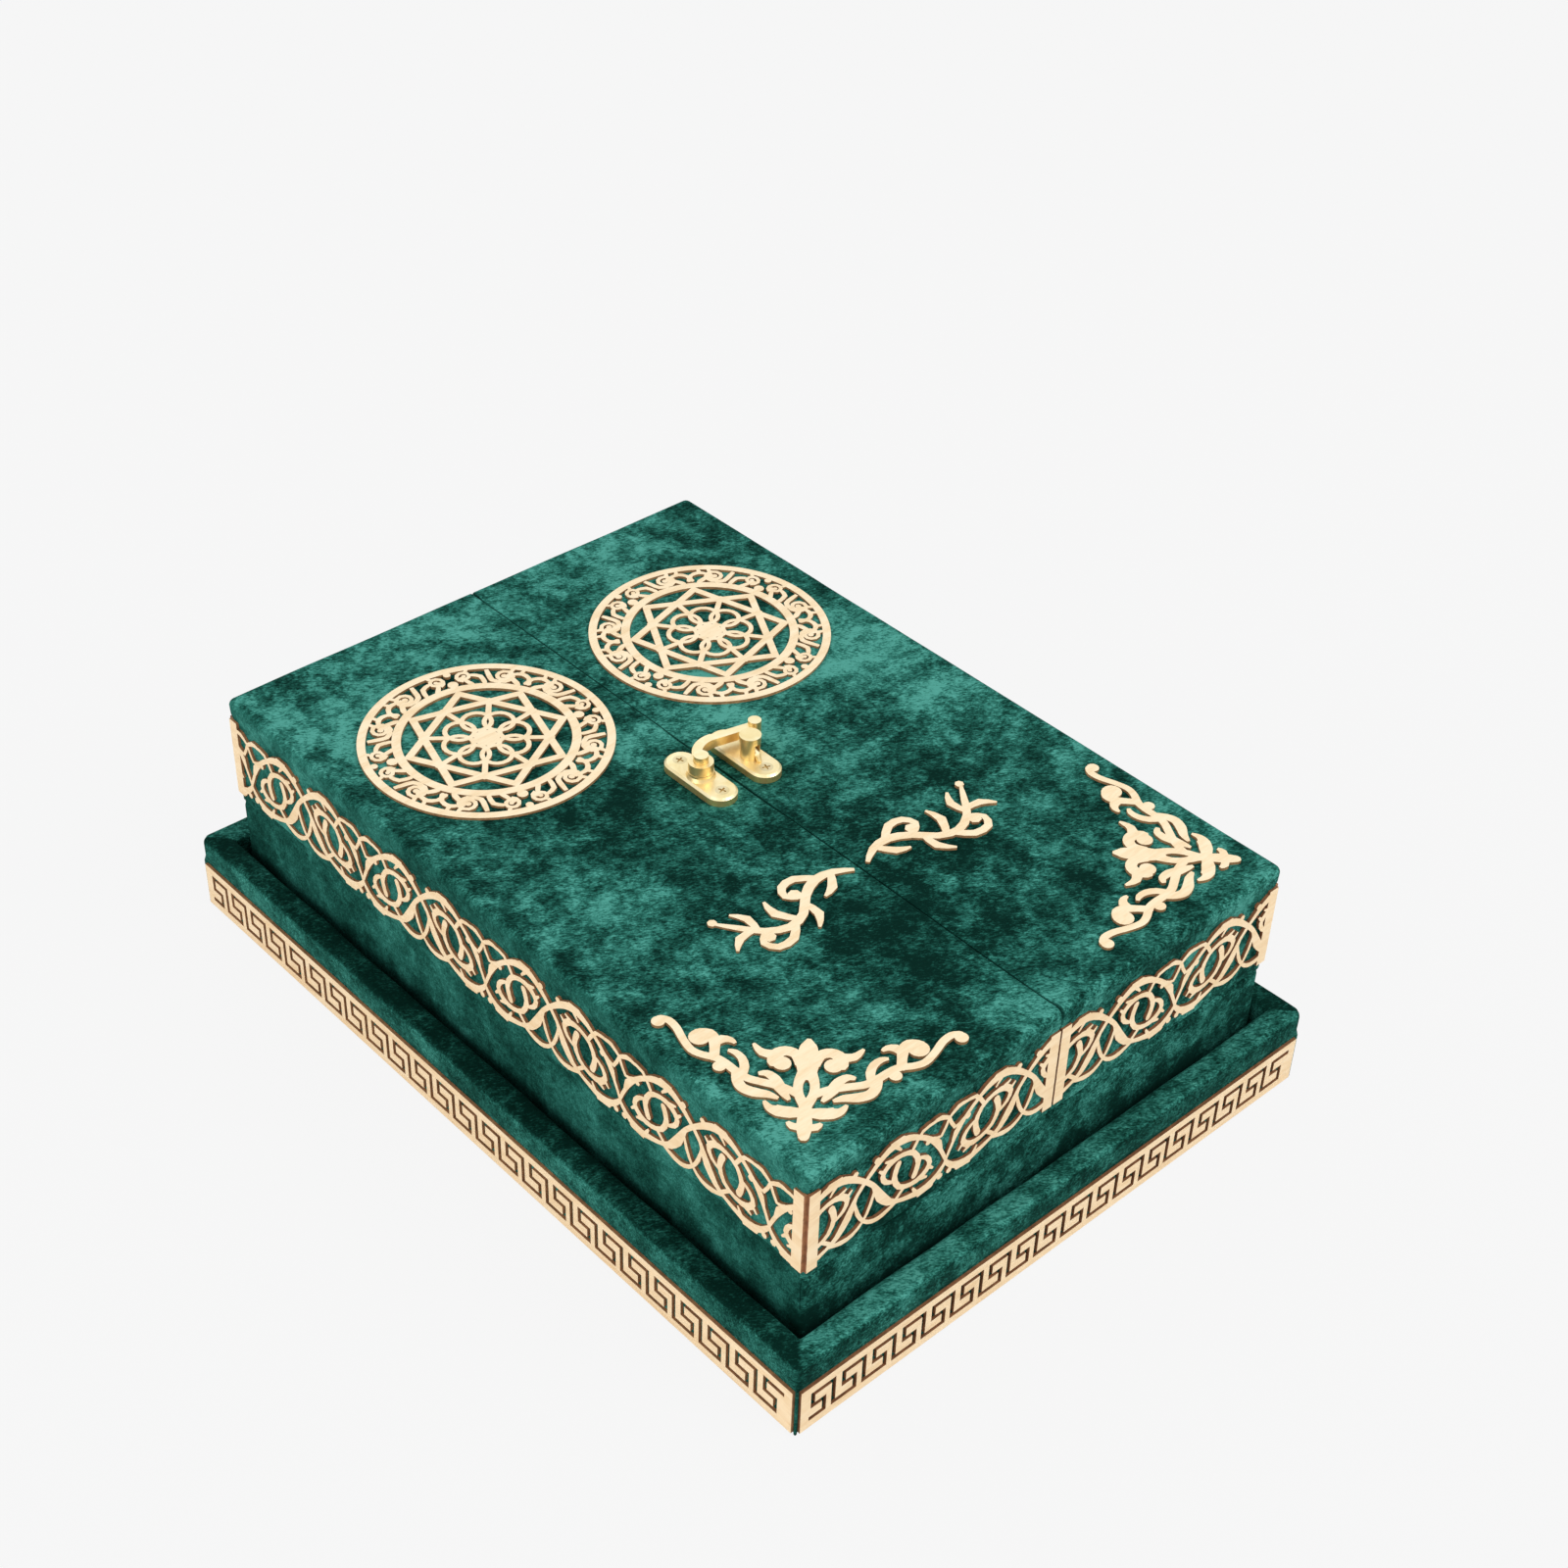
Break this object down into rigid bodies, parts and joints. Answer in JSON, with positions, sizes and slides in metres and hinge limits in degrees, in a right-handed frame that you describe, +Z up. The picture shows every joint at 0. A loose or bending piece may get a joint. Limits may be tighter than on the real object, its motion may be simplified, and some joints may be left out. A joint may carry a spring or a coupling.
{
  "type": "book box",
  "caption": "Velvet-covered box for a large book on a raised plinth, with lid leaves that swing outward from a centre seam, a brass swing clasp and cut wood scroll trim.",
  "frame": {"origin": "under the middle of the plinth, on the table plane", "axes": "+X to the right of a reader at the front, +Y along the box to the rear, +Z up"},
  "size_m": [0.2212, 0.3042, 0.0989],
  "materials": {
    "velvet": "crushed velvet",
    "lining": "short velvet",
    "board": "raw board",
    "trim_wood": "satin, burnt at cut edges",
    "brass": "polished"
  },
  "bodies": {
    "base": {"plinth_board": "board", "plinth_rail_front": "board", "plinth_rail_rear": "board", "plinth_rail_left": "board", "plinth_rail_right": "board", "plinth_velvet": "velvet", "key_strip_front": "trim_wood", "key_strip_rear": "trim_wood", "key_strip_left": "trim_wood", "key_strip_right": "trim_wood", "box_floor": "board", "box_wall_front": "board", "box_wall_rear": "board", "box_wall_left": "board", "box_wall_right": "board", "box_velvet": "velvet", "box_lining": "lining", "hinge_cloth_left": "velvet", "hinge_cloth_right": "velvet"},
    "leaf_left": {"panel_left": "board", "side_wall_left": "board", "front_wall_left": "board", "rear_wall_left": "board", "leaf_velvet_left": "velvet", "leaf_lining_left": "lining", "band_left": "trim_wood", "band_front_left": "trim_wood", "band_rear_left": "trim_wood", "medallion_left": "trim_wood", "corner_ornament_left": "trim_wood", "flourish_left": "trim_wood", "clasp_pivot_plate": "brass", "clasp_pivot_screws": "brass"},
    "leaf_right": {"panel_right": "board", "side_wall_right": "board", "front_wall_right": "board", "rear_wall_right": "board", "leaf_velvet_right": "velvet", "leaf_lining_right": "lining", "band_right": "trim_wood", "band_front_right": "trim_wood", "band_rear_right": "trim_wood", "medallion_right": "trim_wood", "corner_ornament_right": "trim_wood", "flourish_right": "trim_wood", "clasp_keeper_plate": "brass", "clasp_keeper_screws": "brass"},
    "clasp_arm": {"clasp_arm": "brass"}
  },
  "joints": [
    {"name": "leaf_left_hinge", "type": "hinge", "parent": "base", "child": "leaf_left", "pos_m": [-0.0985, 0, 0.0455], "axis": [0, -1, 0], "range_deg": [0, 135], "deforming": ["hinge_cloth_left"]},
    {"name": "leaf_right_hinge", "type": "hinge", "parent": "base", "child": "leaf_right", "pos_m": [0.0985, 0, 0.0455], "axis": [0, 1, 0], "range_deg": [0, 135], "deforming": ["hinge_cloth_right"]},
    {"name": "clasp_arm_swing", "type": "hinge", "parent": "leaf_left", "child": "clasp_arm", "pos_m": [-0.0093, 0.0068, 0.0943], "axis": [0, 0, 1], "range_deg": [0, 100]}
  ],
  "couplings": [
    {"joint": "leaf_right_hinge", "follows": "leaf_left_hinge", "ratio": 1}
  ]
}
